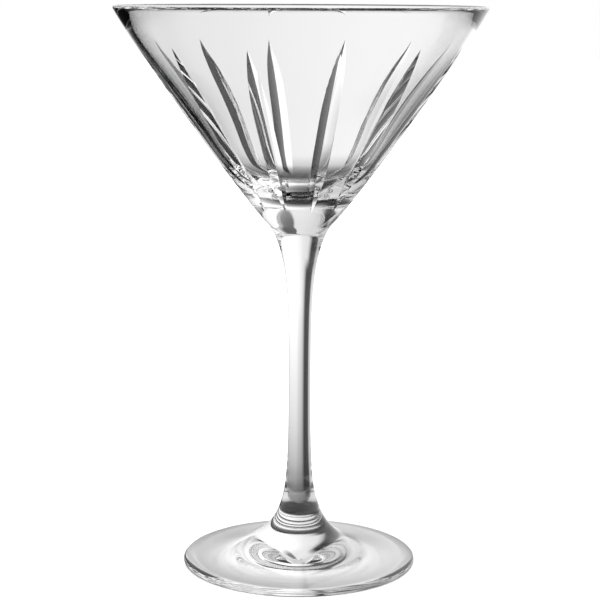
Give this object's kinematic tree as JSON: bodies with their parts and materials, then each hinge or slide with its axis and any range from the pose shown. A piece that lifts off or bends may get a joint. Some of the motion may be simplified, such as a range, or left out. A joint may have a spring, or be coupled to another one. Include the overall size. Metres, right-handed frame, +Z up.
{
  "type": "martini glass",
  "caption": "Clear stemmed cocktail glass with a wide conical bowl, wheel-cut tapered flutes, a slim drawn stem and a round foot.",
  "frame": {"origin": "centre of the resting plane under the foot, on the axis of the glass", "axes": "+Z up along the axis of the glass, from the foot to the rim; +X and +Y level, with the front towards -Y"},
  "size_m": [0.1152, 0.1152, 0.1766],
  "materials": {
    "bowl_glass": "clear crystal, fire polished, with polished cut facets",
    "stem_glass": "clear crystal, drawn and fire polished",
    "foot_glass": "clear crystal, pressed and fire polished"
  },
  "bodies": {
    "root": {"bowl": "bowl_glass", "stem": "stem_glass", "foot": "foot_glass"}
  },
  "joints": []
}
